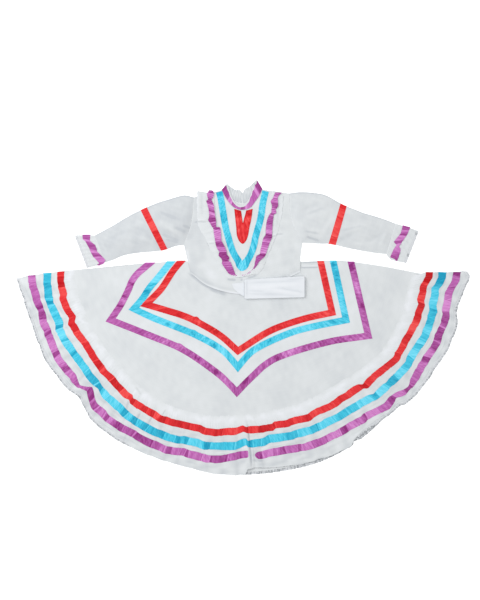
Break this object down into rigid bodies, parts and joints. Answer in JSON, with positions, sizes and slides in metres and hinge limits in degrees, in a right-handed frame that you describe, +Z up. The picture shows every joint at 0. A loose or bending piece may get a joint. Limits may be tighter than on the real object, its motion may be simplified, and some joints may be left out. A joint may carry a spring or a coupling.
{
  "type": "folklorico dress laid flat",
  "caption": "White folklorico blouse and half-circle skirt laid flat, trimmed with red, blue and violet ribbon, ruffles and lace, with a folded sash.",
  "frame": {"origin": "middle of the box round the laid garment, on the surface it lies on", "axes": "+X to the right of the garment seen from above, +Y towards its collar, +Z up"},
  "size_m": [1.3966, 0.9133, 0.0135],
  "materials": {
    "white_poplin": "matte woven cotton blend",
    "white_sash_cotton": "matte, smoother and brighter",
    "white_lace": "matte cotton lace edging",
    "red_satin": "satin ribbon",
    "blue_satin": "satin ribbon",
    "violet_satin": "satin ribbon"
  },
  "bodies": {
    "root": {"blouse_front": "white_poplin", "blouse_back_left": "white_poplin", "blouse_back_right": "white_poplin", "collar_front": "white_poplin", "collar_back_left": "white_poplin", "collar_back_right": "white_poplin", "sleeve_left": "white_poplin", "sleeve_right": "white_poplin", "cuff_left": "white_poplin", "cuff_right": "white_poplin", "yoke_ruffle": "white_poplin", "skirt_front": "white_poplin", "skirt_back": "white_poplin", "waistband": "white_poplin", "flounce_front": "white_poplin", "flounce_back": "white_poplin", "sash": "white_sash_cotton", "sash_end": "white_sash_cotton", "hem_lace_front": "white_lace", "hem_lace_back": "white_lace", "cuff_lace_left": "white_lace", "cuff_lace_right": "white_lace", "keyhole_ribbon": "red_satin", "sleeve_ribbon_left": "red_satin", "sleeve_ribbon_right": "red_satin", "star_ribbon_red": "red_satin", "flounce_ribbon_red": "red_satin", "yoke_ribbon": "blue_satin", "star_ribbon_blue": "blue_satin", "flounce_ribbon_blue": "blue_satin", "collar_ribbon": "violet_satin", "ruffle_ribbon": "violet_satin", "cuff_ribbon_left": "violet_satin", "cuff_ribbon_right": "violet_satin", "star_ribbon_violet": "violet_satin", "flounce_ribbon_violet": "violet_satin"}
  },
  "joints": []
}
